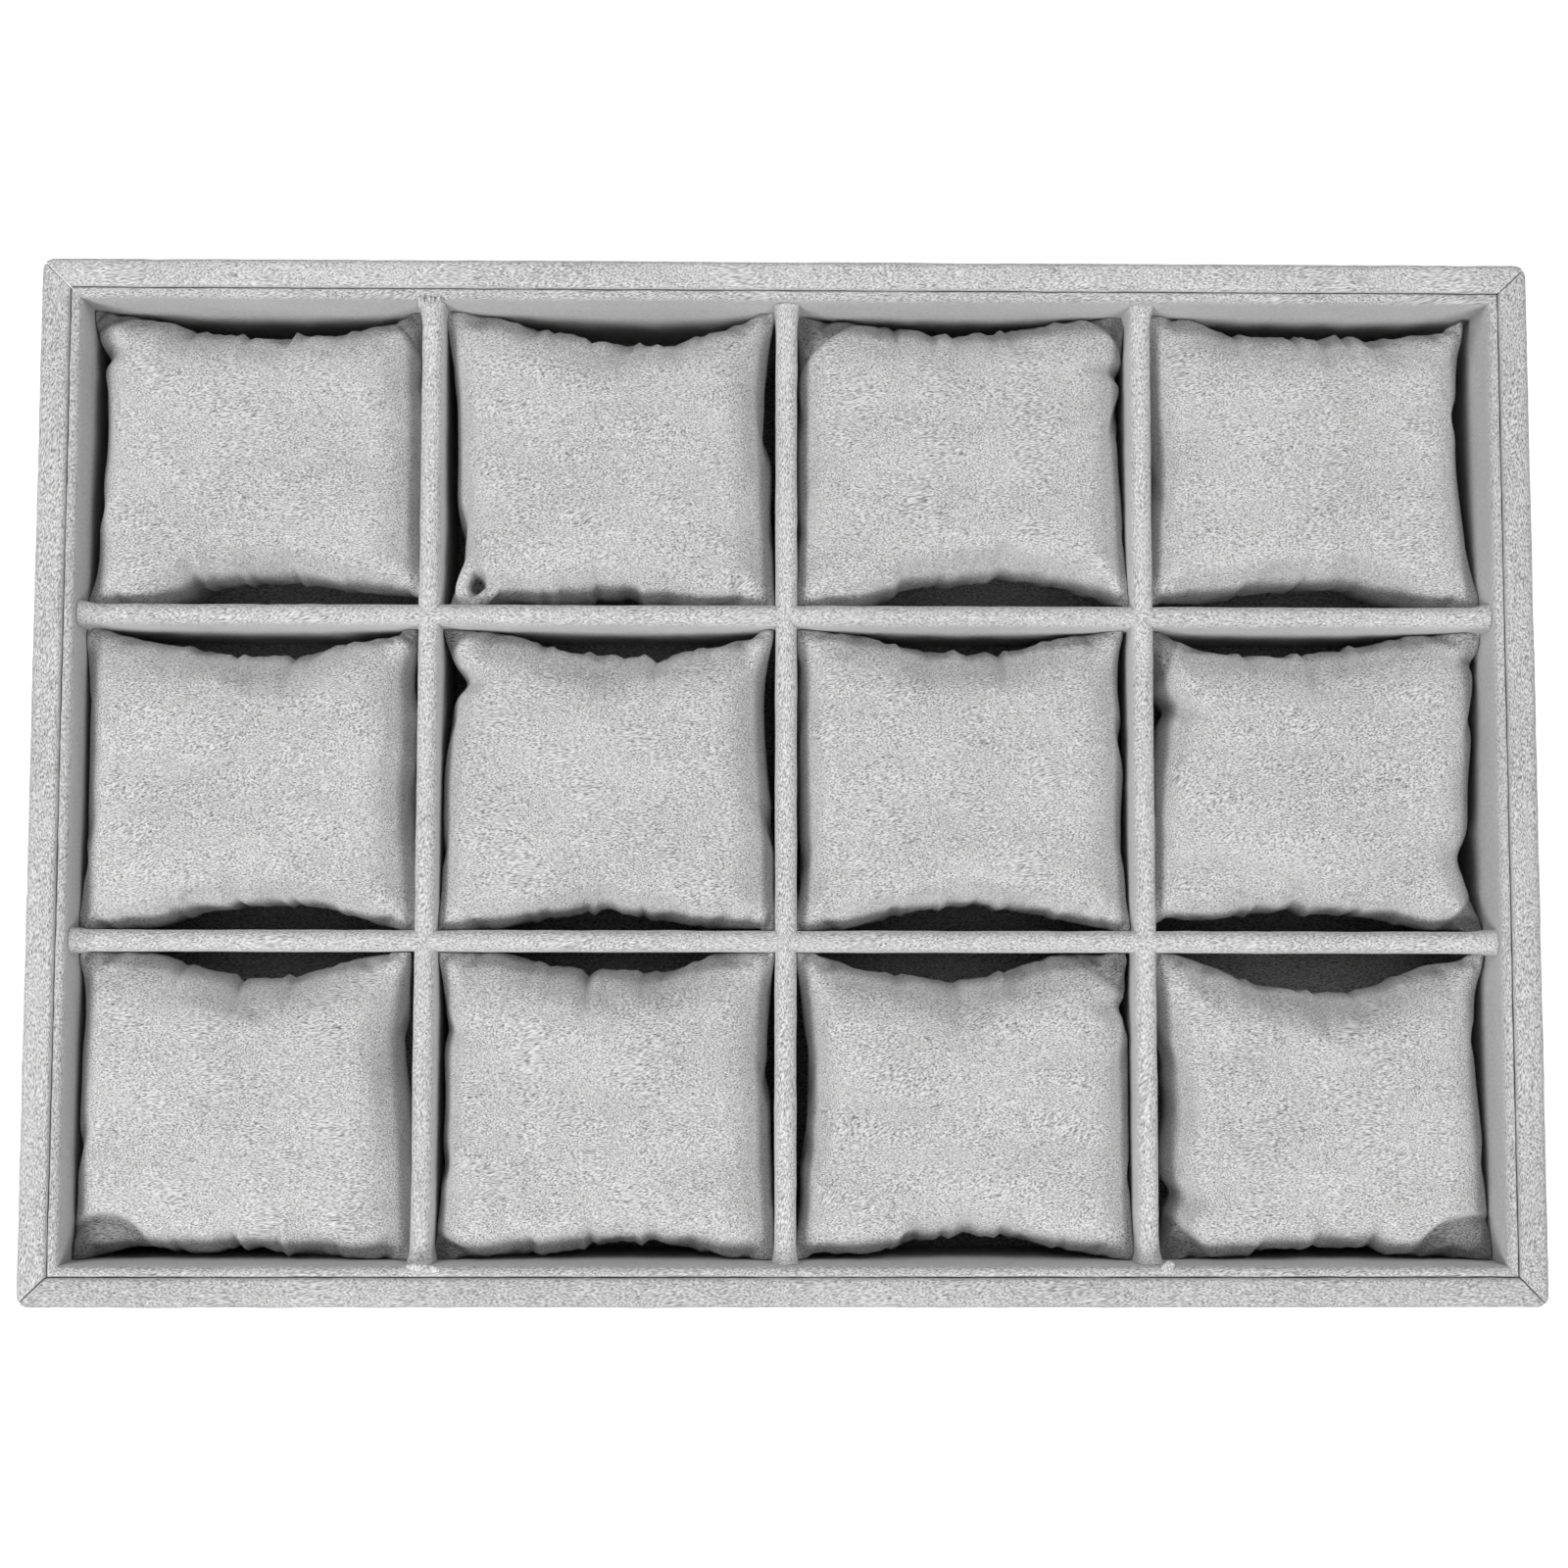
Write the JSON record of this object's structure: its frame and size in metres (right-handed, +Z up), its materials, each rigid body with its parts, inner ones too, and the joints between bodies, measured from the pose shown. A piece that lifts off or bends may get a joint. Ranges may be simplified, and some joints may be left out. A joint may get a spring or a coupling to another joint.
{
  "type": "watch display tray",
  "caption": "Rectangular suede-wrapped tray with mitred walls, inner liners, a cross-lapped divider lattice and a stuffed pillow in each compartment to hold a watch.",
  "frame": {"origin": "under the middle of the tray, on the surface that it stands on", "axes": "+X along the long side to the right, +Y away from the person looking into the tray, +Z up"},
  "size_m": [0.35, 0.2434, 0.045],
  "materials": {
    "wall_suede": "brushed microsuede glued over board, matt with a soft nap",
    "liner_suede": "brushed microsuede glued over thin board, matt",
    "divider_suede": "brushed microsuede wrapped over padded board, matt",
    "pillow_suede": "brushed microsuede, stuffed, matt with a soft nap",
    "floor_suede": "microsuede lining, matt",
    "hardboard": "bare hardboard, hidden",
    "cover_felt": "thin pressed felt, matt"
  },
  "bodies": {
    "root": {"back_liner": "liner_suede", "back_wall": "wall_suede", "base_board": "hardboard", "bottom_cover": "cover_felt", "floor_lining": "floor_suede", "front_liner": "liner_suede", "front_wall": "wall_suede", "left_liner": "liner_suede", "left_wall": "wall_suede", "long_divider_1": "divider_suede", "long_divider_2": "divider_suede", "pillow_r1_c1": "pillow_suede", "pillow_r1_c2": "pillow_suede", "pillow_r1_c3": "pillow_suede", "pillow_r1_c4": "pillow_suede", "pillow_r2_c1": "pillow_suede", "pillow_r2_c2": "pillow_suede", "pillow_r2_c3": "pillow_suede", "pillow_r2_c4": "pillow_suede", "pillow_r3_c1": "pillow_suede", "pillow_r3_c2": "pillow_suede", "pillow_r3_c3": "pillow_suede", "pillow_r3_c4": "pillow_suede", "right_liner": "liner_suede", "right_wall": "wall_suede", "short_divider_1": "divider_suede", "short_divider_2": "divider_suede", "short_divider_3": "divider_suede"}
  },
  "joints": []
}
